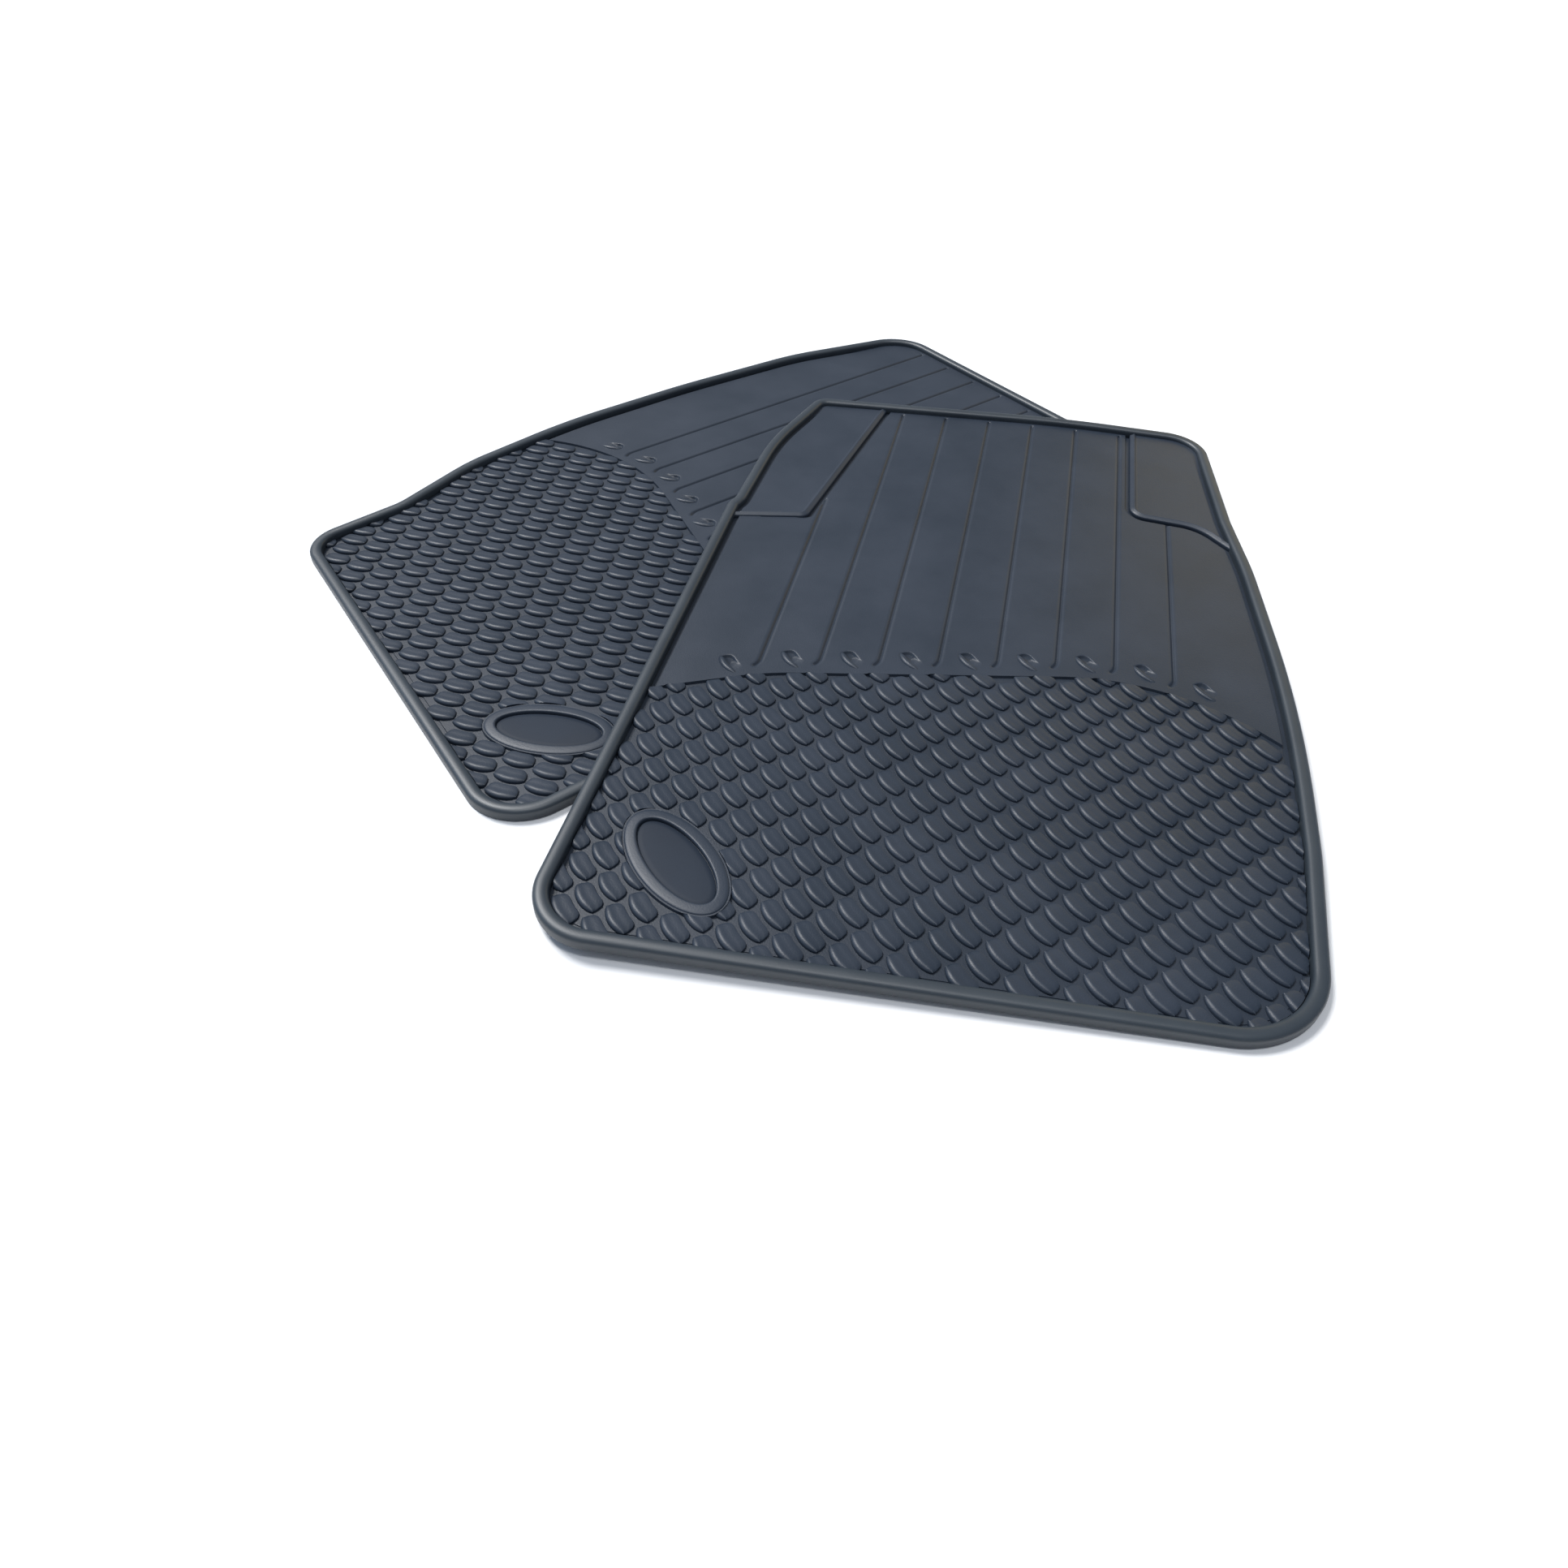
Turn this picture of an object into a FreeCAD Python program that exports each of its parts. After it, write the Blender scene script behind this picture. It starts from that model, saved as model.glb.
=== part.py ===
import FreeCAD, Part
import math
import os

from FreeCAD import Placement, Rotation, Vector

# A pair of moulded rubber floor mats, laid out with the upper one across the lower one.
# Each mat is drawn with X across it, Y from heel to toe, and Z up from the foot of its rim.
# The lower mat is drawn the same way round as the upper one and mirrored when it is placed.
# All sizes are in millimetres.

# ---- section through a mat ----
RIM_HEIGHT = 9.5
RIM_WIDTH = 10.5
RIM_ROUND = 3.0
SHEET_FOOT = 1.0
SHEET_TOP = 4.0
GRIP_RADIUS = 2.0
GRIP_PITCH = 30.0

# ---- tread: drop-shaped studs on a slanted lattice, in a shallow recess ----
TREAD_DEPTH = 2.0
LATTICE_REACH = 40
STUD_LENGTH = 23.4
STUD_WIDTH = 13.0
STUD_CREST = 3.2
STUD_TAIL = 2.4
STUD_CLEAR = 1.0
TREAD_TOP = [
    (0, 228, 20),
    (-90, -90, 20),
    (590, -90, 20),
    (510, 276, 20),
    (402, 354, 187),
    (95, 276, 200),
]

# ---- smooth toe half: long grooves with hooked feet, and a row of lone studs ----
GROOVE_START = 88.0
GROOVE_PITCH = 45.2
GROOVE_COUNT = 8
GROOVE_WIDTH = 2.6
GROOVE_DEPTH = 1.5
GROOVE_LIFT = 20.0
HOOK_RADIUS = 16.0
HOOK_SWEEP = 35.0
NUB_START = 66.5
NUB_LENGTH = 23.0
NUB_WIDTH = 7.0
NUB_CREST = 1.6
NUB_TAIL = 0.5
NUB_LIFT = 17.0

# ---- oval badge: a raised ring round a blank inlay in a shallow pocket ----
BADGE_TURN = -42.0
BADGE_LENGTH = 99.0
BADGE_WIDTH = 53.0
BADGE_BAND = 9.0
BADGE_HEIGHT = 1.3
BADGE_CLEAR = 0.8
POCKET_DEPTH = 2.0
INLAY_THICKNESS = 0.9
INLAY_GAP = 0.4

# ---- raised corner panels of the upper mat, each edged by a lip ----
PANEL_HEIGHT = 1.2
LIP_WIDTH = 5.5
LIP_HEIGHT = 2.6
PANEL_MARGIN = 4.0

# ---- how the pair lies ----
STACK_GAP = 0.4

# Outlines run anticlockwise: x, y and radius at each corner. A panel's outline, like the
# tread's, runs on past the rim, which bounds it there.
UPPER = {
    "name": "upper",
    "corners": [
        (7, -1, 43),
        (483, 37, 66),
        (494, 190, 500),
        (497, 330, 1400),
        (476, 521, 500),
        (462, 598, 26),
        (443, 763, 42),
        (300, 763, 900),
        (39, 732, 18),
        (11, 628, 300),
        (7, 512, 20),
        (3, 500, 20),
    ],
    "stud_at": (302.6, 142.6),
    "stud_steps": ((-10.9, -12.1), (23.8, -10.6)),
    "stud_turn": -45.0,
    "badge_at": (86, 80),
    "panels": {
        "left": [
            (-40, 471, 14),
            (78, 502, 10),
            (126, 800, 14),
            (-40, 800, 14),
        ],
        "right": [
            (560, 520, 14),
            (560, 800, 14),
            (370, 800, 14),
            (370, 589, 16),
            (432, 585, 40),
            (474, 540, 14),
        ],
    },
    "mirrored": False,
    "origin": (-168.7, -429.9),
    "yaw": -12.5,
}
LOWER = {
    "name": "lower",
    "corners": [
        (6, -8.5, 44),
        (434, 20.5, 38),
        (445, 118, 60),
        (480, 206, 200),
        (500, 330, 600),
        (501, 480, 900),
        (492, 634, 300),
        (454, 786, 50),
        (6, 758, 30),
    ],
    "stud_at": (261.3, 153.1),
    "stud_steps": ((-10.5, -12.2), (23.5, -11.4)),
    "stud_turn": -34.0,
    "badge_at": (80, 74),
    "panels": {},
    "mirrored": True,
    "origin": (-179.5, -348.9),
    "yaw": -50.6,
}


def corner_arcs(corners, inset):
    """Start, middle and end of the arc at each corner, the whole outline moved in by inset."""
    arcs = []
    for i, (x, y, radius) in enumerate(corners):
        here = Vector(x, y, 0)
        back = Vector(*corners[i - 1][:2], 0) - here
        ahead = Vector(*corners[(i + 1) % len(corners)][:2], 0) - here
        back.normalize()
        ahead.normalize()
        half_turn = (math.pi - back.getAngle(ahead)) / 2
        inward = (back + ahead).normalize()
        centre = here + inward * (radius / math.cos(half_turn))
        tangent = radius * math.tan(half_turn)
        hollow = back.cross(ahead).z > 0
        reach = (radius + inset if hollow else radius - inset) / radius
        spokes = [back * tangent + here, centre - inward * radius, ahead * tangent + here]
        arcs.append([centre + (p - centre) * reach for p in spokes])
    return arcs


def outline_face(corners, inset):
    """The flat shape inside a rounded outline."""
    arcs = corner_arcs(corners, inset)
    edges = []
    for i, (start, middle, end) in enumerate(arcs):
        edges.append(Part.Arc(start, middle, end).toShape())
        edges.append(Part.LineSegment(end, arcs[(i + 1) % len(arcs)][0]).toShape())
    return Part.Face(Part.Wire(edges))


def slab(face, bottom, top):
    """The face extruded from one height to another."""
    solid = face.extrude(Vector(0, 0, top - bottom))
    solid.translate(Vector(0, 0, bottom))
    return solid


def lens_face(length, width):
    """A leaf shape of two arcs, along X."""
    ends = [Vector(-length / 2, 0, 0), Vector(length / 2, 0, 0)]
    lower = Part.Arc(ends[0], Vector(0, -width / 2, 0), ends[1]).toShape()
    upper = Part.Arc(ends[1], Vector(0, width / 2, 0), ends[0]).toShape()
    return Part.Face(Part.Wire([lower, upper]))


def sloping_stud(mat, length, width, crest, tail):
    """A leaf whose top falls from its crest, on the heel side, to its tail."""
    body = lens_face(length, width).extrude(Vector(0, 0, crest))
    half = width / 2
    section = [
        Vector(-length, -half, crest),
        Vector(-length, half, tail),
        Vector(-length, half, crest + 1),
        Vector(-length, -half, crest + 1),
    ]
    above = Part.Face(Part.makePolygon(section + section[:1])).extrude(Vector(2 * length, 0, 0))
    stud = body.cut(above)
    stud.rotate(Vector(0, 0, 0), Vector(0, 0, 1), mat["stud_turn"])
    return stud


def badge_oval(mat, shrink):
    """The badge's outline, made smaller by shrink all round."""
    length = BADGE_LENGTH / 2 - shrink
    width = BADGE_WIDTH / 2 - shrink
    face = Part.Face(Part.Wire(Part.Ellipse(Vector(0, 0, 0), length, width).toShape()))
    face.Placement = Placement(Vector(*mat["badge_at"], 0), Rotation(Vector(0, 0, 1), BADGE_TURN))
    return face


def rim(mat):
    """The raised border, rounded along the top."""
    ring = outline_face(mat["corners"], 0).cut(outline_face(mat["corners"], RIM_WIDTH))
    wall = slab(ring, 0, RIM_HEIGHT)
    top = [e for e in wall.Edges if all(abs(v.Z - RIM_HEIGHT) < 1e-6 for v in e.Vertexes)]
    return wall.makeFillet(RIM_ROUND, top)


def tread_area(mat, clear):
    """The plan of the tread, held off the rim and the badge by a clearance."""
    inside = outline_face(mat["corners"], RIM_WIDTH + clear)
    below = outline_face(TREAD_TOP, clear)
    return inside.common(below).cut(badge_oval(mat, -BADGE_CLEAR - clear))


def tread_edge(x):
    """How far up the mat the tread reaches at x."""
    probe = Part.LineSegment(Vector(x, 100, 0), Vector(x, 700, 0)).toShape()
    return probe.common(outline_face(TREAD_TOP, 0)).BoundBox.YMax


def groove_toe(mat, x):
    """A groove stops short of the toe rim, or of the corner panel that it runs up to."""
    field = outline_face(mat["corners"], RIM_WIDTH + PANEL_MARGIN)
    for corners in mat["panels"].values():
        field = field.cut(outline_face(corners, -PANEL_MARGIN))
    probe = Part.LineSegment(Vector(x, 350, 0), Vector(x, 900, 0)).toShape()
    return min(probe.common(field).Edges, key=lambda e: e.BoundBox.YMin).BoundBox.YMax


def groove(mat, x):
    """The cutter for one long groove, whose foot hooks sideways."""
    y = tread_edge(x) + GROOVE_LIFT
    toe = groove_toe(mat, x)
    half = GROOVE_WIDTH / 2
    sweep = math.radians(HOOK_SWEEP)

    def on_hook(radius, angle):
        offset = Vector(math.cos(angle), -math.sin(angle), 0) * radius
        return Vector(x - HOOK_RADIUS, y, 0) + offset

    def hook_arc(radius):
        return Part.Arc(*[on_hook(radius, sweep * k / 2) for k in range(3)]).toShape()

    near = HOOK_RADIUS - half
    far = HOOK_RADIUS + half
    tip = on_hook(HOOK_RADIUS, sweep) - Vector(math.sin(sweep), math.cos(sweep), 0) * half
    sides = [Vector(x + half, toe, 0), Vector(x - half, toe, 0)]
    edges = [
        Part.LineSegment(on_hook(far, 0), sides[0]).toShape(),
        Part.Arc(sides[0], Vector(x, toe + half, 0), sides[1]).toShape(),
        Part.LineSegment(sides[1], on_hook(near, 0)).toShape(),
        hook_arc(near),
        Part.Arc(on_hook(near, sweep), tip, on_hook(far, sweep)).toShape(),
        hook_arc(far),
    ]
    face = Part.Face(Part.Wire(Part.__sortEdges__(edges)))
    return slab(face, SHEET_TOP - GROOVE_DEPTH, SHEET_TOP + 1)


def sheet(mat):
    """The flat web inside the rim, with the tread's recess, the grooves and the badge's pocket."""
    web = slab(outline_face(mat["corners"], RIM_WIDTH), SHEET_FOOT, SHEET_TOP)
    cutters = [slab(tread_area(mat, 0), SHEET_TOP - TREAD_DEPTH, SHEET_TOP + 1)]
    cutters.append(slab(badge_oval(mat, BADGE_BAND), SHEET_TOP - POCKET_DEPTH, SHEET_TOP + 1))
    cutters += [groove(mat, GROOVE_START + GROOVE_PITCH * i) for i in range(GROOVE_COUNT)]
    return web.cut(cutters)


def lattice(mat):
    """Every point of the tread's slanted lattice near the mat."""
    down, across = [Vector(*step, 0) for step in mat["stud_steps"]]
    start = Vector(*mat["stud_at"], 0)
    steps = range(-LATTICE_REACH, LATTICE_REACH + 1)
    return [start + down * i + across * j for i in steps for j in steps]


def tread_studs(mat):
    """The drop-shaped studs, each a separate solid on the floor of the tread's recess."""
    stud = sloping_stud(mat, STUD_LENGTH, STUD_WIDTH, STUD_CREST, STUD_TAIL)
    area = tread_area(mat, STUD_CLEAR)
    foot = stud.Faces[0]
    for face in stud.Faces:
        if face.CenterOfMass.z < foot.CenterOfMass.z:
            foot = face
    border = foot.OuterWire.discretize(12)
    studs = []
    for point in lattice(mat):
        if all(area.isInside(point + v, 1e-3, True) for v in border):
            copy = stud.copy()
            copy.translate(point + Vector(0, 0, SHEET_TOP - TREAD_DEPTH))
            studs.append(copy)
    return Part.makeCompound(studs)


def toe_nubs(mat):
    """A row of lone studs on the sheet, one between each pair of grooves."""
    stud = sloping_stud(mat, NUB_LENGTH, NUB_WIDTH, NUB_CREST, NUB_TAIL)
    made = []
    for i in range(GROOVE_COUNT + 1):
        x = NUB_START + GROOVE_PITCH * i
        copy = stud.copy()
        copy.translate(Vector(x, tread_edge(x) + NUB_LIFT, SHEET_TOP))
        made.append(copy)
    return Part.makeCompound(made)


def badge_ring(mat):
    """The raised band round the badge's pocket."""
    band = badge_oval(mat, 0).cut(badge_oval(mat, BADGE_BAND))
    return slab(band, SHEET_TOP, SHEET_TOP + BADGE_HEIGHT)


def badge_inlay(mat):
    """A blank oval plate on the pocket's floor."""
    floor = SHEET_TOP - POCKET_DEPTH
    return slab(badge_oval(mat, BADGE_BAND + INLAY_GAP), floor, floor + INLAY_THICKNESS)


def corner_panel(mat, corners):
    """A raised panel in a corner, with a lip along the edge that faces the sheet."""
    whole = outline_face(corners, 0).common(outline_face(mat["corners"], RIM_WIDTH))
    lip = whole.cut(outline_face(corners, LIP_WIDTH))
    plate = slab(whole, SHEET_TOP, SHEET_TOP + PANEL_HEIGHT)
    return plate.fuse(slab(lip, SHEET_TOP, SHEET_TOP + LIP_HEIGHT)).removeSplitter()


def underside_grips(mat):
    """Small round grips under the sheet, level with the foot of the rim."""
    area = outline_face(mat["corners"], RIM_WIDTH + 10)
    box = area.BoundBox
    grip = Part.makeCone(GRIP_RADIUS * 0.6, GRIP_RADIUS, SHEET_FOOT)
    made = []
    for row in range(int(box.YLength / GRIP_PITCH) + 1):
        stagger = GRIP_PITCH / 2 if row % 2 else 0
        for column in range(int(box.XLength / GRIP_PITCH) + 1):
            x = box.XMin + column * GRIP_PITCH + stagger
            point = Vector(x, box.YMin + row * GRIP_PITCH, 0)
            if area.isInside(point, 1e-3, True):
                copy = grip.copy()
                copy.translate(point)
                made.append(copy)
    return Part.makeCompound(made)


def flat_place(mat):
    """Where a mat lies when it is flat on the floor."""
    return Placement(Vector(*mat["origin"], 0), Rotation(Vector(0, 0, 1), mat["yaw"]))


def laid(mat, shape):
    """A mat's shape turned the right way round and laid flat on the floor."""
    turned = shape.mirror(Vector(0, 0, 0), Vector(1, 0, 0)) if mat["mirrored"] else shape.copy()
    turned.Placement = flat_place(mat).multiply(turned.Placement)
    return turned


def lean(mat, under):
    """The tilt of a mat that leans on the straight side of the one under it, with one corner
    still on the floor."""
    heading = Rotation(Vector(0, 0, 1), under["yaw"])
    along = heading.multVec(Vector(0, 1, 0))
    across = heading.multVec(Vector(1, 0, 0))
    side = flat_place(under).multVec(Vector(-under["corners"][0][0], 0, 0))
    plan = laid(mat, outline_face(mat["corners"], 0))
    reach = max((p - side).dot(across) for p in plan.OuterWire.discretize(400))
    rise = RIM_HEIGHT + STACK_GAP
    tilt = math.degrees(math.asin(rise / reach))
    tipped = Placement(Vector(0, 0, 0), Rotation(along, tilt), side)
    return Placement(Vector(0, 0, rise), Rotation()).multiply(tipped)


def export(mat, tilt):
    """Writes one file for each sub-part of a mat."""
    made = {
        "sheet": sheet(mat),
        "rim": rim(mat),
        "tread_studs": tread_studs(mat),
        "toe_nubs": toe_nubs(mat),
        "badge_ring": badge_ring(mat),
        "badge_inlay": badge_inlay(mat),
        "underside_grips": underside_grips(mat),
    }
    for side, corners in mat["panels"].items():
        made[side + "_corner_panel"] = corner_panel(mat, corners)
    placed = []
    for name, shape in made.items():
        piece = laid(mat, shape)
        piece.Placement = tilt.multiply(piece.Placement)
        piece.exportStep("parts/" + mat["name"] + "_" + name + ".step")
        print(mat["name"], name, len(piece.Solids), "solids, valid:", piece.isValid())
        placed.append(piece)
    return placed


os.makedirs("parts", exist_ok=True)
pieces = export(LOWER, Placement()) + export(UPPER, lean(UPPER, LOWER))
print(Part.makeCompound(pieces).BoundBox)
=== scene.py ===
import math

import bmesh
import bpy
import numpy as np
from mathutils import Matrix, Vector
from mathutils.geometry import delaunay_2d_cdt


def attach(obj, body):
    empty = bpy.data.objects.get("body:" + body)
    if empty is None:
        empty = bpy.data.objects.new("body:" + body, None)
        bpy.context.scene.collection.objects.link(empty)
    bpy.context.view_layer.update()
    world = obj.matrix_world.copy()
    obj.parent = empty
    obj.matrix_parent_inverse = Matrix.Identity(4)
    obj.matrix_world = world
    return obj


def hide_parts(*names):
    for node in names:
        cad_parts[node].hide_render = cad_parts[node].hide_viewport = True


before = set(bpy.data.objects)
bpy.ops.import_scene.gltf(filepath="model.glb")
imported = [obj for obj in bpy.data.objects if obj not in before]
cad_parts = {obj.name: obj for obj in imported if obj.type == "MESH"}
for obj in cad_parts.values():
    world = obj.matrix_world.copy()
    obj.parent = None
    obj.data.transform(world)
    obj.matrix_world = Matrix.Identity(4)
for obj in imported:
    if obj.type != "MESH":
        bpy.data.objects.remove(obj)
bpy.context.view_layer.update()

# Two moulded rubber floor mats, the upper one lying across the lower one. As in the CAD model,
# each mat is drawn in millimetres with X across it, Y from heel to toe and Z up from the foot of
# its rim, and the lower one is mirrored when it is placed. Everything placed is in metres.
MM = 0.001

# ---- section through a mat ----
RIM_HEIGHT = 9.5
RIM_WIDTH = 10.5
RIM_CROWN = 3.4
RIM_DRAFT = 0.15
CROWN_POWER = 0.9
WALL_OVERLAP = 0.4
SHEET_FOOT = 1.0
SHEET_TOP = 4.0
FOOT_GROOVE_WIDTH = 3.8
FOOT_GROOVE_DEPTH = 2.5
FOOT_GROOVE_END = 690
FOOT_GROOVE_FADE = 40
EDGE = 0.7
GUARD = 1.4
GRIP_RADIUS = 2.0
GRIP_PITCH = 30.0
GRIP_MARGIN = 10
GRIP_SIDES = 12

# ---- tread ----
# A stud's section goes from its heel side to its toe side. Each point is a share of the width
# across it and a share of its crest's height. The two end points are sunk below its floor.
TREAD_DEPTH = 2.0
LATTICE_REACH = 40
STUD_LENGTH = 24.4
STUD_WIDTH = 14.0
STUD_BOW = 4.8
STUD_OFFSET = -1.8
HEEL_POWER = 0.7
STUD_CREST = 3.2
STUD_END_CREST = 0.45
STUD_SUNK = 0.4
STUD_RIM_CLEAR = 0.5
STUD_EDGE_CLEAR = 0.4
STUD_LOST_SHARE = 0.7
STUD_SECTION = [
    (0, 0), (0.015, 0.42), (0.04, 0.6), (0.08, 0.77), (0.13, 0.9), (0.18, 0.97), (0.23, 1),
    (0.3, 0.97), (0.38, 0.9), (0.49, 0.82), (0.62, 0.77), (0.86, 0.74), (0.95, 0.62), (1, 0),
]
NUB_CREST = 3.6
NUB_MARGIN = 0.6
NUB_SLOPE = 1.5
NUB_HOLLOW_END = 0.3
NUB_HOLLOW_FADE = 0.5
NUB_SECTION = [
    (0, 0), (0.02, 0.6), (0.05, 0.76), (0.1, 0.9), (0.15, 0.98), (0.2, 1), (0.27, 0.96),
    (0.34, 0.82), (0.42, 0.45), (0.5, 0.15), (0.65, 0.05), (0.85, 0.04), (0.95, 0.03), (1, 0),
]
# Studs outside the box LATTICE_HALF round LATTICE_MIDDLE are beyond the tread of both mats, and
# are left out early to save time.
LATTICE_MIDDLE = (240, 170)
LATTICE_HALF = (330, 230)

# The tread's outline. An outline's corner is X, Y and the radius of its arc. Only the upper edge
# lies inside a mat.
TREAD_TOP = [
    (0, 228, 20),
    (-90, -90, 20),
    (590, -90, 20),
    (510, 276, 20),
    (402, 354, 187),
    (95, 276, 200),
]

# ---- smooth toe half ----
GROOVE_START = 88.0
GROOVE_PITCH = 45.2
GROOVE_COUNT = 8
GROOVE_HALF = 2.0
GROOVE_DEPTH = 1.5
GROOVE_LIFT = 20.0
GROOVE_LINES = (0.35, 0.7, 1, 2)
HOOK_RADIUS = 16.0
HOOK_SWEEP = 35.0
TOE_LIMIT = 800
NUB_START = 66.5
NUB_LIFT = 17.0

# ---- oval badge ----
BADGE_TURN = -42.0
BADGE_LENGTH = 99.0
BADGE_WIDTH = 53.0
BADGE_BAND = 9.0
BADGE_HEIGHT = 1.3
BADGE_CLEAR = 0.8
BADGE_OVERLAP = 1
POCKET_DEPTH = 2.0
INLAY_THICKNESS = 0.9
INLAY_GAP = 0.4

# ---- corner panels ----
# A panel's lip rises over LIP_BEVEL from its edge, then falls over LIP_FALL to the panel. Lines
# of the mesh run along it at LIP_LINES from the edge.
PANEL_HEIGHT = 1.2
LIP_EDGE = 0.7
LIP_BEVEL = 4.0
LIP_HEIGHT = 2.6
LIP_FALL = 2.6
LIP_ROUND = 0.8
LIP_DROP = 0.5
LIP_LINES = (0, 0.3, 0.8, 1.8, 2.8, 3.7, 4.2, 4.6, 5.2, 5.8, 6.4, 7.4)
PANEL_MARGIN = 4.0
PANEL_OVERLAP = 0.3
PANEL_GROOVE_FOOT = 500
PANEL_GROOVE_FADE = 7.0
PANEL_FADE_FROM = 3
PANEL_FADE = 4

# The air between the upper mat and the rim that it leans on.
STACK_GAP = 0.4

# In a mesh, points closer than MERGE are made one and edges shorter than DEGENERATE go, both in
# metres. In a plan, lines closer than PLAN_MERGE millimetres are made one.
MERGE = 2e-6
DEGENERATE = 1e-7
PLAN_MERGE = 1e-4

# The tread's lattice starts from one stud, and the two steps lead to its neighbours. Turns and
# yaws are in degrees. The origin is where a mat's own zero lies.
UPPER = {
    "name": "upper",
    "corners": [
        (7, -1, 43),
        (483, 37, 66),
        (494, 190, 500),
        (497, 330, 1400),
        (476, 521, 500),
        (462, 598, 26),
        (443, 763, 42),
        (300, 763, 900),
        (39, 732, 18),
        (11, 628, 300),
        (7, 512, 20),
        (3, 500, 20),
    ],
    "stud_at": (302.6, 142.6),
    "stud_steps": ((-10.9, -12.1), (23.8, -10.6)),
    "stud_turn": -45.0,
    "badge_at": (86, 80),
    "panels": {
        "left": [
            (-40, 471, 14),
            (78, 502, 10),
            (126, 800, 14),
            (-40, 800, 14),
        ],
        "right": [
            (560, 520, 14),
            (560, 800, 14),
            (370, 800, 14),
            (370, 589, 16),
            (432, 585, 40),
            (474, 540, 14),
        ],
    },
    "mirrored": False,
    "origin": (-168.7, -429.9),
    "yaw": -12.5,
}
LOWER = {
    "name": "lower",
    "corners": [
        (6, -8.5, 44),
        (434, 20.5, 38),
        (445, 118, 60),
        (480, 206, 200),
        (500, 330, 600),
        (501, 480, 900),
        (492, 634, 300),
        (454, 786, 50),
        (6, 758, 30),
    ],
    "stud_at": (261.3, 153.1),
    "stud_steps": ((-10.5, -12.2), (23.5, -11.4)),
    "stud_turn": -34.0,
    "badge_at": (80, 74),
    "panels": {},
    "mirrored": True,
    "origin": (-179.5, -348.9),
    "yaw": -50.6,
}


# ---------------------------------------------------------------- outlines


def rounded(corners, inset=0.0, step=3.0, run=30.0):
    """Points round an outline whose corners are arcs, moved in by inset. Their number doesn't
    depend on the inset, so two such loops can be joined point to point."""
    arcs, tangents = [], []
    for i, (x, y, radius) in enumerate(corners):
        here = np.array((x, y), float)
        back = np.array(corners[i - 1][:2]) - here
        ahead = np.array(corners[(i + 1) % len(corners)][:2]) - here
        back /= np.linalg.norm(back)
        ahead /= np.linalg.norm(ahead)
        turn = math.pi - math.acos(np.clip(back @ ahead, -1, 1))
        inward = (back + ahead) / np.linalg.norm(back + ahead)
        centre = here + inward * radius / math.cos(turn / 2)
        hollow = back[0] * ahead[1] - back[1] * ahead[0] > 0
        reach = radius + inset if hollow else radius - inset
        spoke = here + back * radius * math.tan(turn / 2) - centre
        count = max(4, math.ceil(radius * turn / step))
        first = math.atan2(spoke[1], spoke[0])
        angles = first + np.linspace(0, -turn if hollow else turn, count + 1)
        arcs.append(centre + reach * np.column_stack([np.cos(angles), np.sin(angles)]))
        tangents.append(radius * math.tan(turn / 2))
    points = []
    for i, arc in enumerate(arcs):
        following = (i + 1) % len(arcs)
        gap = math.dist(corners[i][:2], corners[following][:2])
        count = max(1, round((gap - tangents[i] - tangents[following]) / run))
        shares = np.arange(1, count)[:, None] / count
        points += [arc, arc[-1] + shares * (arcs[following][0] - arc[-1])]
    return np.concatenate(points)


def nearest(points, loop, chunk=4000):
    """The nearest point of a closed loop to each point, and how far inside the loop each is. It
    works in chunks, to save memory."""
    start = loop
    along = np.roll(loop, -1, 0) - loop
    spot, depth = np.empty_like(points), np.empty(len(points))
    for first in range(0, len(points), chunk):
        part = points[first:first + chunk]
        offset = part[:, None] - start
        share = np.clip((offset * along).sum(-1) / (along * along).sum(-1), 0, 1)
        candidates = start + share[..., None] * along
        distances = np.linalg.norm(part[:, None] - candidates, axis=-1)
        best = distances.argmin(1)
        rows = np.arange(len(part))
        spot[first:first + chunk] = candidates[rows, best]
        height = part[:, 1:2]
        crosses = (start[:, 1] > height) != (start[:, 1] + along[:, 1] > height)
        slope = np.where(along[:, 1] == 0, 1, along[:, 1])
        reach = start[:, 0] + along[:, 0] * (height - start[:, 1]) / slope
        within = (crosses & (part[:, :1] < reach)).sum(1) % 2 == 1
        depth[first:first + chunk] = np.where(within, 1, -1) * distances[rows, best]
    return spot, depth


def inside(points, loop):
    """How far inside a closed loop each point is, and less than nothing outside it."""
    return nearest(points, loop)[1]


def smooth(share):
    """Rises from 0 to 1 as share does, level at both ends."""
    share = np.clip(share, 0, 1)
    return share * share * (3 - 2 * share)


def turned(points, degrees, at=(0, 0)):
    """Points turned about the origin and moved to a place."""
    angle = math.radians(degrees)
    spin = np.array([[math.cos(angle), math.sin(angle)], [-math.sin(angle), math.cos(angle)]])
    return np.asarray(points) @ spin + np.array(at)


def badge_oval(mat, shrink, count=72):
    """The outline of a mat's badge, made smaller by shrink all round."""
    angles = np.linspace(0, 2 * math.pi, count, endpoint=False)
    size = np.array((BADGE_LENGTH / 2 - shrink, BADGE_WIDTH / 2 - shrink))
    oval = size * np.column_stack([np.cos(angles), np.sin(angles)])
    return turned(oval, BADGE_TURN, mat["badge_at"])


def stud_spread(share, across):
    """A point on a stud from how far along it lies, -1 to 1, and how far across, 0 to 1 from
    the bowed heel side to the flatter toe side."""
    heel = STUD_OFFSET - STUD_BOW * (1 - share**2) ** HEEL_POWER
    return share * STUD_LENGTH / 2, heel + across * STUD_WIDTH * (1 - share**4) ** 0.5


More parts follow.
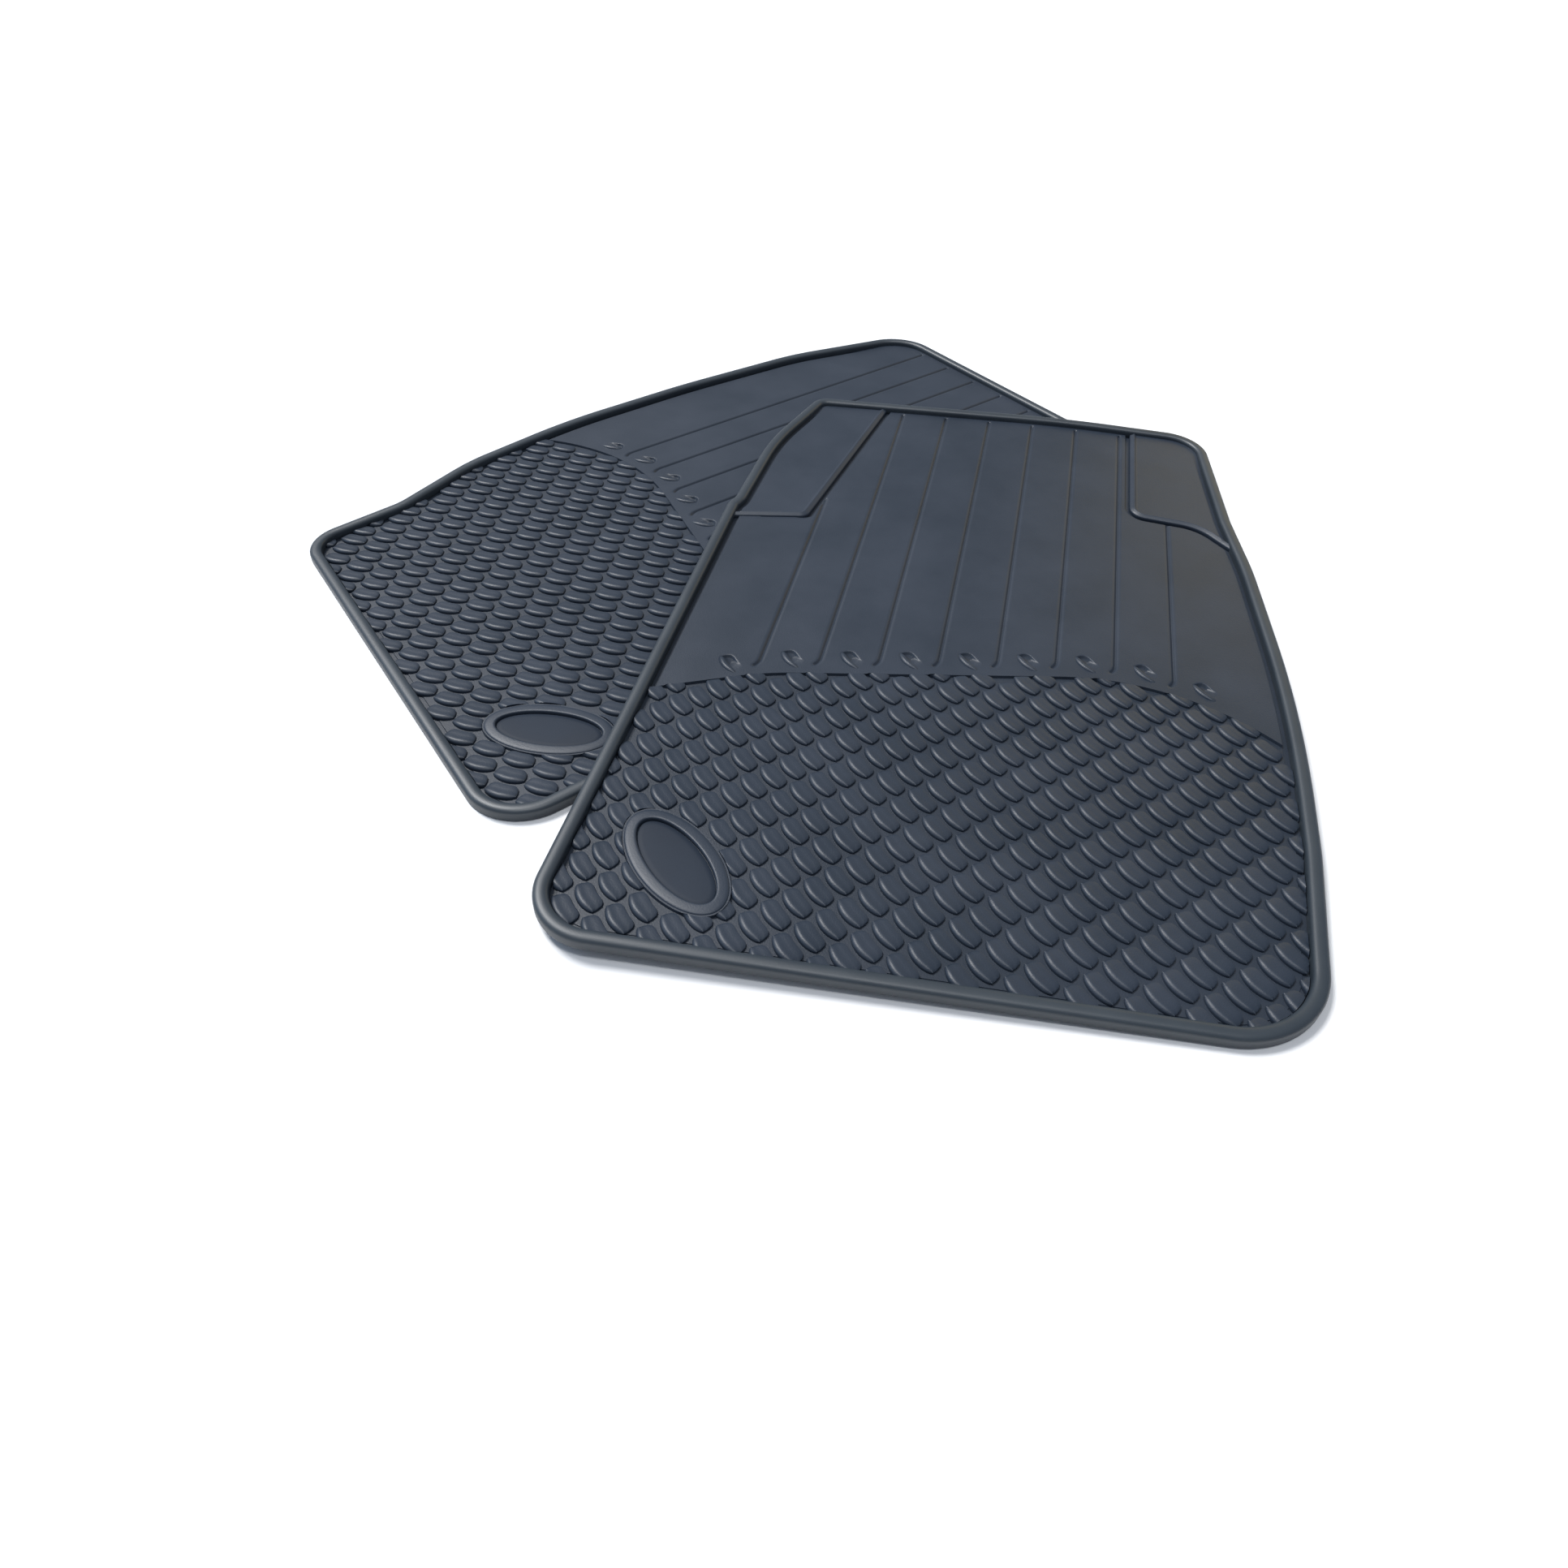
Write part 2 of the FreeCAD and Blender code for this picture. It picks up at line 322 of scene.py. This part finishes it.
def nub_plan(mat, grow, count=13):
    """A lone stud's outline, grown by a margin, about its own centre."""
    shares = np.sin(np.linspace(-math.pi / 2, math.pi / 2, count))
    heel = np.column_stack(stud_spread(shares, 0))
    toe = np.column_stack(stud_spread(shares, 1))
    plan = np.concatenate([heel, toe[-2:0:-1]])
    middle = plan.mean(0)
    reach = np.linalg.norm(plan - middle, axis=1)[:, None]
    return turned(plan + (plan - middle) * grow / reach, mat["stud_turn"])


def level_at(loop, x):
    """The highest Y of a closed loop at x."""
    ahead = np.roll(loop, -1, 0)
    spans = (loop[:, 0] - x) * (ahead[:, 0] - x) <= 0
    low, high = loop[spans], ahead[spans]
    run = np.where(high[:, 0] == low[:, 0], 1, high[:, 0] - low[:, 0])
    return (low[:, 1] + (high[:, 1] - low[:, 1]) * (x - low[:, 0]) / run).max()


# ---------------------------------------------------------------- mesh making


def flat_place(mat):
    """Where a mat lies when it is flat on the floor, from its own millimetres to metres."""
    move = Matrix.Translation(Vector((*mat["origin"], 0)) * MM)
    spin = Matrix.Rotation(math.radians(mat["yaw"]), 4, "Z")
    flip = Matrix.Diagonal((-MM if mat["mirrored"] else MM, MM, MM, 1))
    return move @ spin @ flip


def lean(mat, under):
    """The tilt of the mat that leans on the straight side of the one under it, with one corner
    still on the floor."""
    spin = Matrix.Rotation(math.radians(under["yaw"]), 3, "Z")
    across, along = spin @ Vector((1, 0, 0)), spin @ Vector((0, 1, 0))
    side = flat_place(under) @ Vector((under["corners"][0][0], 0, 0))
    plan = [flat_place(mat) @ Vector((*p, 0)) for p in rounded(mat["corners"])]
    reach = max((p - side).dot(across) for p in plan)
    rise = (RIM_HEIGHT + STACK_GAP) * MM
    tip = Matrix.Rotation(math.asin(rise / reach), 4, along)
    return Matrix.Translation(side + Vector((0, 0, rise))) @ tip @ Matrix.Translation(-side)


def piece(mat, name, points, faces, material, node, sharp=38.0):
    """A shaded mesh in its mat's place, which rides on that mat and stands for a CAD node. Its
    painted-shade factor rises from 0 at the sheet's foot to 1 just above the sheet; the material
    darkens the low places by it, a painted shade."""
    mesh = bpy.data.meshes.new(name)
    mesh.from_pydata([mat["place"] @ Vector(p) for p in points], [], faces)
    # Painted shade: this factor darkens the colour of grooves, hollows and other low places.
    painted_shade_factor = mesh.attributes.new("painted_shade_factor", "FLOAT", "POINT")
    painted_shade_factor.data.foreach_set("value", smooth((points[:, 2] - SHEET_FOOT) / SHEET_TOP))
    work = bmesh.new()
    work.from_mesh(mesh)
    bmesh.ops.remove_doubles(work, verts=work.verts, dist=MERGE)
    bmesh.ops.dissolve_degenerate(work, edges=work.edges, dist=DEGENERATE)
    bmesh.ops.recalc_face_normals(work, faces=work.faces)
    work.to_mesh(mesh)
    work.free()
    mesh.shade_smooth()
    mesh.set_sharp_from_angle(angle=math.radians(sharp))
    mesh.materials.append(material)
    made = bpy.data.objects.new(name, mesh)
    bpy.context.scene.collection.objects.link(made)
    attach(made, mat["name"] + "_mat")
    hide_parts(mat["name"] + "_" + node)
    return made


def ring(loops):
    """Points and faces of a closed tube through loops of equal length."""
    count = len(loops[0])
    faces = []
    for k in range(len(loops)):
        here, there = k * count, (k + 1) % len(loops) * count
        for i in range(count):
            j = (i + 1) % count
            faces.append((here + i, here + j, there + j, there + i))
    return np.concatenate(loops), faces


def at_height(plan, height):
    """Flat points lifted to one height, or to one height each."""
    return np.column_stack([plan, np.broadcast_to(height, len(plan))])


def relief(lines, keep, top, bottom):
    """Points and faces of a slab whose top follows a height function. The lines are drawn into
    its top, and it covers only what keep says is more than 0 inside."""
    points, edges = [], []
    for line, closed in lines:
        first = len(points)
        points += [Vector(p) for p in line]
        last = len(line) if closed else len(line) - 1
        edges += [(first + k, first + (k + 1) % len(line)) for k in range(last)]
    plan, _, triangles, *_ = delaunay_2d_cdt(points, edges, [], 0, PLAN_MERGE, False)
    plan, triangles = np.array(plan), np.array(triangles)
    triangles = triangles[keep(plan[triangles].mean(1)) > 0]
    used, triangles = np.unique(triangles, return_inverse=True)
    triangles = triangles.reshape(-1, 3)
    plan = plan[used]
    count = len(plan)
    directed = {(t[k], t[(k + 1) % 3]) for t in triangles.tolist() for k in range(3)}
    rim_edges = sorted(e for e in directed if e[::-1] not in directed)
    faces = triangles.tolist() + (triangles[:, ::-1] + count).tolist()
    faces += [(b, a, a + count, b + count) for a, b in rim_edges]
    return np.concatenate([at_height(plan, top(plan)), at_height(plan, bottom)]), faces


# ---------------------------------------------------------------- sub-parts


def rim(mat):
    """The raised border: slightly drafted walls, and a crowned top with rounded shoulders."""
    shoulder = RIM_HEIGHT - RIM_CROWN
    middle = RIM_WIDTH / 2
    section = [(0.5, 0), (0.1, 0.5), (0, 1.2), (RIM_DRAFT, shoulder)]
    for angle in np.radians(np.linspace(172, 6, 17)):
        across, up = math.cos(angle), math.sin(angle)
        reach = math.copysign(abs(across) ** CROWN_POWER, across)
        x = middle + reach * (middle - RIM_DRAFT)
        section.append((x, shoulder + RIM_CROWN * up**CROWN_POWER))
    section += [(RIM_WIDTH - 0.05, 2.4), (RIM_WIDTH, SHEET_FOOT), (RIM_WIDTH - 0.5, 0)]
    loops = [at_height(rounded(mat["corners"], inset), height) for inset, height in section]
    points, faces = ring(loops)
    piece(mat, mat["name"] + "_rim_moulding", points, faces, RIM_RUBBER, "rim")


def groove_path(mat, x, samples=400, points=12):
    """The centre line of one groove, from its toe end down to the tip of its hook. Samples up
    the mat find where its toe end is."""
    foot = level_at(mat["tread_top"], x) + GROOVE_LIFT
    column = np.column_stack([np.full(samples, x), np.linspace(foot, TOE_LIMIT, samples)])
    clear = inside(column, rounded(mat["corners"], RIM_WIDTH + PANEL_MARGIN)) > 0
    for corners in mat["panels"].values():
        clear &= inside(column, rounded(corners, -PANEL_MARGIN)) < 0
    toe = column[np.argmin(clear) - 1, 1]
    straight = np.column_stack([np.full(points, x), np.linspace(toe, foot, points)])
    angles = np.radians(np.linspace(0, HOOK_SWEEP, 9))[1:]
    hook = np.column_stack([np.cos(angles) - 1, -np.sin(angles)]) * HOOK_RADIUS + (x, foot)
    return np.concatenate([straight, hook])


def beside(path, reach, cap=6):
    """A loop at a distance all round an open path."""
    along = np.gradient(path, axis=0)
    along /= np.linalg.norm(along, axis=1)[:, None]
    left = np.column_stack([-along[:, 1], along[:, 0]])
    sweep = np.radians(np.linspace(0, 180, cap + 2)[1:-1])[:, None]
    end = path[-1] + reach * (np.cos(sweep) * left[-1] + np.sin(sweep) * along[-1])
    start = path[0] - reach * (np.cos(sweep) * left[0] + np.sin(sweep) * along[0])
    return np.concatenate([path + left * reach, end, (path - left * reach)[::-1], start])


def sheet(mat):
    """The web inside the rim, with its foot groove, tread recess, long grooves and pockets."""
    wall = rounded(mat["corners"], RIM_WIDTH)
    limit = rounded(mat["corners"], RIM_WIDTH - WALL_OVERLAP)
    grooves = [groove_path(mat, GROOVE_START + GROOVE_PITCH * i) for i in range(GROOVE_COUNT)]
    nub_plans = [nub_plan(mat, -NUB_MARGIN) + spot for spot in mat["nubs"]]
    panels = [rounded(corners) for corners in mat["panels"].values()]
    # A loop as thin as a thread stands for a groove's centre line.
    thread = 0.01
    groove_loops = [beside(path, thread) for path in grooves]
    pocket = badge_oval(mat, BADGE_BAND - BADGE_OVERLAP)

    def height(points):
        at_wall, from_wall = nearest(points, wall)
        foot = FOOT_GROOVE_DEPTH * (1 - smooth((from_wall - FOOT_GROOVE_WIDTH) / EDGE))
        foot *= 1 - smooth((at_wall[:, 1] - FOOT_GROOVE_END) / FOOT_GROOVE_FADE)
        from_tread = np.minimum(
            inside(points, mat["tread_top"]),
            -inside(points, badge_oval(mat, -BADGE_CLEAR)),
        )
        depths = [foot, TREAD_DEPTH * smooth(from_tread / EDGE)]
        for loop in groove_loops:
            depths.append(GROOVE_DEPTH * (1 - smooth(-inside(points, loop) / GROOVE_HALF)))
        for plan, spot in zip(nub_plans, mat["nubs"]):
            along = turned(points - spot, -mat["stud_turn"])[:, 0] / STUD_LENGTH
            hollow = smooth(inside(points, plan) / NUB_SLOPE)
            hollow *= smooth((NUB_HOLLOW_END - along) / NUB_HOLLOW_FADE)
            depths.append(TREAD_DEPTH * hollow)
        for panel in panels:
            from_panel = -inside(points, panel) - FOOT_GROOVE_WIDTH
            beside_panel = FOOT_GROOVE_DEPTH * (1 - smooth(from_panel / EDGE))
            above_foot = smooth((points[:, 1] - PANEL_GROOVE_FOOT) / PANEL_GROOVE_FADE)
            depths.append(beside_panel * above_foot)
        depths.append(POCKET_DEPTH * smooth(inside(points, pocket) / EDGE))
        return SHEET_TOP - np.max(depths, axis=0)

    lines = [(limit, True)]
    for reach in (FOOT_GROOVE_WIDTH, EDGE / 2, EDGE, GUARD):
        inset = reach if reach == FOOT_GROOVE_WIDTH else FOOT_GROOVE_WIDTH + reach
        lines.append((rounded(mat["corners"], RIM_WIDTH + inset), True))
        lines += [(rounded(corners, -inset), True) for corners in mat["panels"].values()]
    for inset in (-GUARD, 0, EDGE / 2, EDGE, EDGE + GUARD):
        lines.append((rounded(TREAD_TOP, inset), True))
        lines.append((badge_oval(mat, -BADGE_CLEAR - inset), True))
        lines += [(nub_plan(mat, -NUB_MARGIN - inset) + spot, True) for spot in mat["nubs"]]
        lines.append((badge_oval(mat, BADGE_BAND - BADGE_OVERLAP + inset), True))
    for path in grooves:
        lines.append((path, False))
        for share in GROOVE_LINES:
            lines.append((beside(path, GROOVE_HALF * share), True))
    points, faces = relief(lines, lambda p: inside(p, limit), height, SHEET_FOOT)
    piece(mat, mat["name"] + "_web", points, faces, MAT_RUBBER, "sheet")


def stud_mesh(mat, section, height, rows=13):
    """One stud about its own centre, its foot sunk a little below the floor that it stands on:
    a crest along the heel side, and a top that falls away towards the toe side."""
    points = []
    for share in np.sin(np.linspace(-math.pi / 2, math.pi / 2, rows)):
        crest = height * (STUD_END_CREST + (1 - STUD_END_CREST) * (1 - abs(share) ** 3))
        for across, rise in section:
            z = crest * rise if 0 < across < 1 else -STUD_SUNK
            points.append((*stud_spread(share, across), z))
    wide = len(section)
    faces = []
    for i in range(rows - 1):
        for j in range(wide - 1):
            k = i * wide + j
            faces.append((k, k + 1, k + wide + 1, k + wide))
    heel = [i * wide for i in range(rows)]
    toe = [i * wide + wide - 1 for i in range(rows)]
    faces.append(tuple(heel + toe[::-1]))
    points = np.array(points)
    points[:, :2] = turned(points[:, :2], mat["stud_turn"])
    return points, faces


def stud_spots(mat):
    """Every point of the tread's slanted lattice, well beyond the mat on all sides."""
    down, across = np.array(mat["stud_steps"])
    steps = np.arange(-LATTICE_REACH, LATTICE_REACH + 1)
    i, j = (grid.reshape(-1, 1) for grid in np.meshgrid(steps, steps))
    return np.array(mat["stud_at"]) + i * down + j * across


def tread(mat):
    """The studs, cut off where they meet the rim, the badge and the tread's upper edge."""
    points, faces = stud_mesh(mat, STUD_SECTION, STUD_CREST)
    bounds = [
        (rounded(mat["corners"], RIM_WIDTH + STUD_RIM_CLEAR), 1),
        (rounded(TREAD_TOP, STUD_EDGE_CLEAR), 1),
        (badge_oval(mat, -BADGE_CLEAR - STUD_EDGE_CLEAR), -1),
    ]
    all_points, all_faces = [], []
    for spot in stud_spots(mat):
        if (abs(spot - LATTICE_MIDDLE) > LATTICE_HALF).any():
            continue
        copy = points + (*spot, SHEET_TOP - TREAD_DEPTH)
        outside = np.zeros(len(copy), bool)
        for loop, side in bounds:
            where, depth = nearest(copy[:, :2], loop)
            beyond = depth * side < 0
            outside |= beyond
            copy[beyond, :2] = where[beyond]
        if outside.mean() < STUD_LOST_SHARE:
            first = sum(len(p) for p in all_points)
            all_points.append(copy)
            all_faces += [tuple(first + k for k in face) for face in faces]
    name = mat["name"] + "_tread_field"
    points = np.concatenate(all_points)
    piece(mat, name, points, all_faces, MAT_RUBBER, "tread_studs")


def nubs(mat):
    """The row of lone studs above the tread, each in a pocket of its own."""
    points, faces = stud_mesh(mat, NUB_SECTION, NUB_CREST)
    copies = [points + (*spot, SHEET_TOP - TREAD_DEPTH) for spot in mat["nubs"]]
    count = len(points)
    all_faces = [tuple(n * count + k for k in face) for n in range(len(copies)) for face in faces]
    name = mat["name"] + "_toe_studs"
    points = np.concatenate(copies)
    piece(mat, name, points, all_faces, MAT_RUBBER, "toe_nubs")


def badge(mat):
    """The oval's raised band with rounded shoulders, and the blank inlay inside it."""
    top = SHEET_TOP + BADGE_HEIGHT
    foot = SHEET_FOOT + 0.5
    section = [(0, foot), (0.1, top - 1.8), (0.5, top - 1), (1.3, top - 0.55)]
    section += [(3, top - 0.3), (5, top - 0.12), (6.5, top - 0.02), (7.4, top), (8.1, top - 0.1)]
    section += [(8.6, top - 0.5), (8.9, top - 1.2), (BADGE_BAND, foot)]
    points, faces = ring([at_height(badge_oval(mat, shrink), height) for shrink, height in section])
    name = mat["name"] + "_badge_band"
    piece(mat, name, points, faces, MAT_RUBBER, "badge_ring")
    floor = SHEET_TOP - POCKET_DEPTH
    face = floor + INLAY_THICKNESS
    outer = BADGE_BAND + INLAY_GAP
    section = [(outer, floor - 0.2), (outer, face - 0.35), (outer + 0.5, face)]
    section += [(outer + 4, face + 0.15), (outer + 10, face + 0.3)]
    loops = [at_height(badge_oval(mat, shrink), height) for shrink, height in section]
    points, faces = ring(loops)
    count = len(loops[0])
    faces = faces[:-count]
    last = len(points) - count
    faces += [tuple(range(count)), tuple(range(last, last + count))]
    name = mat["name"] + "_badge_blank"
    piece(mat, name, points, faces, BADGE_RUBBER, "badge_inlay")


def corner_panel(mat, side, corners):
    """A raised panel with a rolled lip along its free edges and a foot groove along the rim."""
    edge = rounded(corners)
    wall = rounded(mat["corners"], RIM_WIDTH)
    limit = rounded(mat["corners"], RIM_WIDTH - PANEL_OVERLAP)

    def height(points):
        from_edge = inside(points, edge)
        at_wall, from_wall = nearest(points, wall)
        lip = LIP_EDGE + (LIP_HEIGHT - LIP_EDGE) * np.clip(from_edge / LIP_BEVEL, 0, 1)
        lip -= (LIP_HEIGHT - PANEL_HEIGHT) * smooth((from_edge - LIP_BEVEL) / LIP_FALL)
        lip -= LIP_DROP * (1 - np.clip(from_edge / LIP_ROUND, 0, 1)) ** 2
        foot = FOOT_GROOVE_DEPTH * (1 - smooth((from_wall - FOOT_GROOVE_WIDTH) / EDGE))
        foot *= smooth((from_edge - PANEL_FADE_FROM) / PANEL_FADE)
        foot *= 1 - smooth((at_wall[:, 1] - FOOT_GROOVE_END) / FOOT_GROOVE_FADE)
        return SHEET_TOP + lip - foot

    lines = [(limit, True)]
    for inset in LIP_LINES:
        lines.append((rounded(corners, inset), True))
    for inset in (0, EDGE / 2, EDGE, GUARD):
        lines.append((rounded(mat["corners"], RIM_WIDTH + FOOT_GROOVE_WIDTH + inset), True))
    keep = lambda p: np.minimum(inside(p, limit), inside(p, edge))
    points, faces = relief(lines, keep, height, SHEET_FOOT + 0.4)
    name = mat["name"] + "_" + side + "_panel_top"
    piece(mat, name, points, faces, MAT_RUBBER, side + "_corner_panel")


def grips(mat):
    """Small round grips under the sheet, level with the foot of the rim."""
    area = rounded(mat["corners"], RIM_WIDTH + GRIP_MARGIN)
    low, high = area.min(0), area.max(0)
    sides = GRIP_SIDES
    angles = np.linspace(0, 2 * math.pi, sides, endpoint=False)
    circle = np.column_stack([np.cos(angles), np.sin(angles)])
    section = [(1, SHEET_FOOT + 0.3), (1, SHEET_FOOT), (0.7, 0.15), (0.5, 0)]
    all_points, all_faces = [], []
    for row in range(int((high[1] - low[1]) / GRIP_PITCH) + 1):
        stagger = GRIP_PITCH / 2 if row % 2 else 0
        for column in range(int((high[0] - low[0]) / GRIP_PITCH) + 1):
            spot = low + (column * GRIP_PITCH + stagger, row * GRIP_PITCH)
            if inside(spot[None], area)[0] < 0:
                continue
            first = len(all_points) * sides
            for share, height in section:
                all_points.append(at_height(spot + circle * GRIP_RADIUS * share, height))
            for k in range(len(section) - 1):
                for i in range(sides):
                    j = (i + 1) % sides
                    low_ring, high_ring = first + k * sides, first + (k + 1) * sides
                    corner_ids = (low_ring + i, low_ring + j, high_ring + j, high_ring + i)
                    all_faces.append(corner_ids)
            last = first + (len(section) - 1) * sides
            all_faces += [tuple(range(first, first + sides)), tuple(range(last, last + sides))]
    name = mat["name"] + "_foot_grips"
    points = np.concatenate(all_points)
    piece(mat, name, points, all_faces, MAT_RUBBER, "underside_grips")


# ---------------------------------------------------------------- materials


SHEEN_SPREAD = 0.07


def rubber(name, dark, light, recess, roughness, gloss, grain, grain_height):
    """Moulded rubber: mottled colour, uneven sheen and a fine pebbled grain. The recesses keep
    only a share of the colour, a painted shade that deepens the lower a point lies."""
    made = bpy.data.materials.new(name)
    made.use_nodes = True
    nodes, links = made.node_tree.nodes, made.node_tree.links
    shader = nodes["Principled BSDF"]
    shader.inputs["Specular IOR Level"].default_value = gloss
    place = nodes.new("ShaderNodeTexCoord")
    mottle = nodes.new("ShaderNodeTexNoise")
    mottle.inputs["Scale"].default_value = 14.0
    mottle.inputs["Detail"].default_value = 5.0
    mottle.inputs["Roughness"].default_value = 0.6
    links.new(place.outputs["Object"], mottle.inputs["Vector"])
    tint = nodes.new("ShaderNodeValToRGB")
    tint.color_ramp.elements[0].position = 0.35
    tint.color_ramp.elements[0].color = (*dark, 1)
    tint.color_ramp.elements[1].position = 0.68
    tint.color_ramp.elements[1].color = (*light, 1)
    links.new(mottle.outputs["Fac"], tint.inputs["Fac"])
    # Painted shade: the colour is scaled down towards recess in grooves, hollows and low places.
    painted_shade_factor = nodes.new("ShaderNodeAttribute")
    painted_shade_factor.attribute_name = "painted_shade_factor"
    painted_shade_ramp = nodes.new("ShaderNodeMapRange")
    painted_shade_ramp.inputs["To Min"].default_value = recess
    links.new(painted_shade_factor.outputs["Fac"], painted_shade_ramp.inputs["Value"])
    shade = nodes.new("ShaderNodeVectorMath")
    shade.operation = "SCALE"
    links.new(tint.outputs["Color"], shade.inputs["Vector"])
    links.new(painted_shade_ramp.outputs["Result"], shade.inputs["Scale"])
    links.new(shade.outputs["Vector"], shader.inputs["Base Color"])
    pebble = nodes.new("ShaderNodeTexNoise")
    pebble.inputs["Scale"].default_value = grain
    pebble.inputs["Detail"].default_value = 3.0
    links.new(place.outputs["Object"], pebble.inputs["Vector"])
    sheen = nodes.new("ShaderNodeMapRange")
    sheen.inputs["To Min"].default_value = roughness - SHEEN_SPREAD
    sheen.inputs["To Max"].default_value = roughness + SHEEN_SPREAD
    links.new(mottle.outputs["Fac"], sheen.inputs["Value"])
    links.new(sheen.outputs["Result"], shader.inputs["Roughness"])
    bump = nodes.new("ShaderNodeBump")
    bump.inputs["Strength"].default_value = 0.5
    bump.inputs["Distance"].default_value = grain_height
    links.new(pebble.outputs["Fac"], bump.inputs["Height"])
    links.new(bump.outputs["Normal"], shader.inputs["Normal"])
    return made


# recess is the share of the colour that the lowest places keep: a painted shade.
MAT_RUBBER = rubber(
    "mat_rubber",
    dark=(0.016, 0.025, 0.040),
    light=(0.024, 0.034, 0.052),
    recess=0.8,
    roughness=0.45,
    gloss=0.46,
    grain=900,
    grain_height=0.0002,
)
RIM_RUBBER = rubber(
    "rim_rubber",
    dark=(0.023, 0.032, 0.042),
    light=(0.031, 0.042, 0.053),
    recess=0.8,
    roughness=0.44,
    gloss=0.6,
    grain=1400,
    grain_height=0.0001,
)
BADGE_RUBBER = rubber(
    "badge_rubber",
    dark=(0.012, 0.019, 0.032),
    light=(0.017, 0.026, 0.042),
    recess=0.9,
    roughness=0.6,
    gloss=0.25,
    grain=1400,
    grain_height=0.0001,
)


# ---------------------------------------------------------------- the mats


def build(mat, tilt):
    """Every sub-part of one mat."""
    mat["place"] = tilt @ flat_place(mat)
    mat["tread_top"] = rounded(TREAD_TOP)
    xs = [NUB_START + GROOVE_PITCH * i for i in range(GROOVE_COUNT + 1)]
    mat["nubs"] = [np.array((x, level_at(mat["tread_top"], x) + NUB_LIFT)) for x in xs]
    sheet(mat)
    rim(mat)
    tread(mat)
    nubs(mat)
    badge(mat)
    grips(mat)
    for side, corners in mat["panels"].items():
        corner_panel(mat, side, corners)


build(LOWER, Matrix())
build(UPPER, lean(UPPER, LOWER))


# ---------------------------------------------------------------- studio

FLOOR_HALF = 6.0
FLOOR_DROP = 0.0004
CAMERA_AT = (0.0008, -0.7934, 0.5065)
CAMERA_DOWN = 45.05
CAMERA_ROLL = 1.3
CAMERA_LENS = 23.3


def floor():
    """A pale floor, just under the mats."""
    mesh = bpy.data.meshes.new("studio_floor")
    half, low = FLOOR_HALF, -FLOOR_DROP
    corners = [(-half, -half, low), (half, -half, low), (half, half, low), (-half, half, low)]
    mesh.from_pydata(corners, [], [(0, 1, 2, 3)])
    made = bpy.data.objects.new("studio_floor", mesh)
    bpy.context.scene.collection.objects.link(made)
    paint = bpy.data.materials.new("studio_floor")
    paint.use_nodes = True
    shader = paint.node_tree.nodes["Principled BSDF"]
    shader.inputs["Base Color"].default_value = (0.92, 0.92, 0.92, 1)
    shader.inputs["Roughness"].default_value = 0.9
    shader.inputs["Specular IOR Level"].default_value = 0.1
    mesh.materials.append(paint)


def softbox(name, place, aim, size, power, tint):
    """A large square light that points at a spot."""
    data = bpy.data.lights.new(name, "AREA")
    data.shape = "SQUARE"
    data.size = size
    data.energy = power
    data.color = tint
    made = bpy.data.objects.new(name, data)
    made.location = place
    made.rotation_euler = (Vector(aim) - Vector(place)).to_track_quat("-Z", "Y").to_euler()
    bpy.context.scene.collection.objects.link(made)


def lamp(name, direction, strength, softness, tint):
    """A broad, far light that shines from a direction."""
    data = bpy.data.lights.new(name, "SUN")
    data.energy = strength
    data.angle = math.radians(softness)
    data.color = tint
    made = bpy.data.objects.new(name, data)
    made.rotation_euler = Vector(direction).to_track_quat("Z", "Y").to_euler()
    bpy.context.scene.collection.objects.link(made)


def sky(strength, tint):
    """Even light from all round."""
    world = bpy.data.worlds.new("studio")
    world.use_nodes = True
    backdrop = world.node_tree.nodes["Background"]
    backdrop.inputs["Color"].default_value = (*tint, 1)
    backdrop.inputs["Strength"].default_value = strength
    bpy.context.scene.world = world


def camera():
    """The camera, standing at the heel end and looking down at the mats."""
    data = bpy.data.cameras.new("camera")
    data.sensor_width = 36.0
    data.lens = CAMERA_LENS
    data.clip_start, data.clip_end = 0.01, 50.0
    made = bpy.data.objects.new("camera", data)
    pitch = Matrix.Rotation(math.radians(90 - CAMERA_DOWN), 4, "X")
    roll = Matrix.Rotation(math.radians(CAMERA_ROLL), 4, "Z")
    made.matrix_world = Matrix.Translation(CAMERA_AT) @ pitch @ roll
    bpy.context.scene.collection.objects.link(made)
    bpy.context.scene.camera = made


floor()
sky(0.32, (0.8, 0.9, 1.08))
lamp("key", (-0.42, 0.4, 0.82), 3.0, 20, (0.99, 0.985, 0.98))
lamp("top", (0, -0.1, 1.0), 0.8, 12, (0.96, 0.98, 1.0))
softbox("blue_card", (-1.7, 0.1, 1.0), (-0.3, 0.1, 0), 1.2, 3.4, (0.3, 0.6, 1.0))
softbox("warm_card", (1.3, 1.5, 0.8), (0.35, 0.3, 0), 0.9, 2.6, (1.0, 0.74, 0.22))
camera()
bpy.context.scene.view_settings.view_transform = "Standard"
